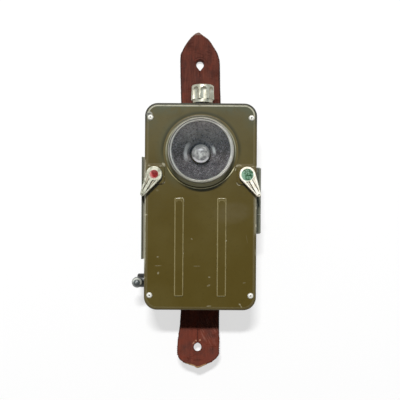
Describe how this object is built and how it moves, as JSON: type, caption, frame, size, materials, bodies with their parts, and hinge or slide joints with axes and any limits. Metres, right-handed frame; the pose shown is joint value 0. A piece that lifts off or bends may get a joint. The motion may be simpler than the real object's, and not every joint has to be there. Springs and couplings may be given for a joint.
{
  "type": "morse signal lamp",
  "caption": "Flat steel pocket signal lamp with domed lens, swing-in red and green filters, Morse key, side switch, hinged cover and leather button strap.",
  "frame": {"origin": "centre of the strap carrier's outer flat face on the back, which the lamp rests on", "axes": "+Z out of the lens, +Y towards the Morse key on the top edge, +X towards the hinge"},
  "size_m": [0.0866, 0.2368, 0.0495],
  "materials": {
    "olive_paint": "satin, worn",
    "dark_green_paint": "satin, worn",
    "collar_paint": "satin, worn",
    "nickel": "plated, dulled",
    "ring_metal": "turned, worn",
    "reflector_metal": "spun, tarnished",
    "zinc_sheet": "zinc plated",
    "plain_steel": "bare",
    "spring_steel": "blued",
    "ball_metal": "dark oxidised",
    "black_bakelite": "moulded, dull gloss",
    "red_stone": "glossy",
    "green_stone": "faded",
    "clear_glass": "polished",
    "bulb_glass": "polished",
    "red_glass": "polished",
    "green_glass": "polished",
    "brass": "aged",
    "fibre": "pressed fibre",
    "felt": "felt",
    "battery_card": "plain sleeve",
    "seal_rubber": "matt",
    "strap_leather": "worn, waxed"
  },
  "bodies": {
    "case": {"rear_case": "olive_paint", "strap_carrier": "dark_green_paint", "carrier_rivets": "plain_steel", "chassis": "zinc_sheet", "bulb_socket": "brass", "reflector": "reflector_metal", "bulb_base": "nickel", "bulb_globe": "bulb_glass", "bulb_filament": "spring_steel", "insulating_pad": "fibre", "bulb_contact_strip": "brass", "key_bush": "nickel", "key_nut": "plain_steel", "key_spring": "spring_steel", "key_block": "fibre", "key_contact": "brass", "switch_boss": "black_bakelite", "switch_nut": "plain_steel", "side_strip_insulator": "fibre", "side_strip": "brass", "hinge_case_leaf": "dark_green_paint", "hinge_pin": "plain_steel", "catch_foot": "dark_green_paint", "battery": "battery_card", "battery_terminals": "brass", "battery_pad": "felt", "battery_guides": "zinc_sheet", "contact_board": "fibre", "battery_contacts": "brass"},
    "cover": {"front_cover": "olive_paint", "cover_rivets": "nickel", "spacer_sleeves": "zinc_sheet", "guard_plate": "zinc_sheet", "lens_collar": "collar_paint", "lens_gasket": "seal_rubber", "lens_ring": "ring_metal", "lens_glass": "clear_glass", "lever_bushes": "brass", "lever_washers": "plain_steel", "hinge_cover_leaf": "dark_green_paint"},
    "red_arm": {"red_lever": "nickel", "red_jewel": "red_stone", "red_shaft": "plain_steel", "red_filter_frame": "zinc_sheet", "red_filter": "red_glass"},
    "green_arm": {"green_lever": "nickel", "green_jewel": "green_stone", "green_shaft": "plain_steel", "green_filter_frame": "zinc_sheet", "green_filter": "green_glass"},
    "key_plunger": {"key_stem": "plain_steel", "key_clip": "spring_steel", "key_tip": "brass"},
    "key_head": {"key_knob": "nickel"},
    "side_switch": {"switch_cap": "black_bakelite", "switch_lever": "ball_metal", "switch_spindle": "plain_steel", "switch_wiper": "brass"},
    "catch": {"catch_leaf": "dark_green_paint"},
    "strap": {"leather_strap": "strap_leather"}
  },
  "joints": [
    {"name": "cover_hinge", "type": "hinge", "parent": "case", "child": "cover", "pos_m": [0.039, 0.00415, 0.0278], "axis": [0, 1, 0], "range_deg": [0, 110]},
    {"name": "red_filter_swing", "type": "hinge", "parent": "cover", "child": "red_arm", "pos_m": [-0.0304, 0.021, 0.04], "axis": [0, 0, 1], "range_deg": [0, 78]},
    {"name": "green_filter_swing", "type": "hinge", "parent": "cover", "child": "green_arm", "pos_m": [0.0304, 0.021, 0.04], "axis": [0, 0, -1], "range_deg": [0, 78]},
    {"name": "key_press", "type": "slide", "parent": "case", "child": "key_plunger", "axis": [0, -1, 0], "range_m": [0, 0.0024], "stiffness_N_per_m": 800, "springref_m": -0.0015, "deforming": ["key_spring"]},
    {"name": "key_lock_turn", "type": "hinge", "parent": "key_plunger", "child": "key_head", "pos_m": [0.001, 0.0735, 0.0178], "axis": [0, 1, 0], "range_deg": [0, 90]},
    {"name": "switch_throw", "type": "hinge", "parent": "case", "child": "side_switch", "pos_m": [-0.03955, -0.0513, 0.0186], "axis": [1, 0, 0], "range_deg": [0, 40]},
    {"name": "catch_flex", "type": "hinge", "parent": "case", "child": "catch", "pos_m": [-0.0376, -0.00115, 0.0228], "axis": [0, -1, 0], "range_deg": [0, 8], "stiffness_Nm_per_rad": 0.6, "springref_deg": -1.15},
    {"name": "strap_slide", "type": "slide", "parent": "case", "child": "strap", "axis": [0, 1, 0], "range_m": [-0.008, 0.003]}
  ]
}
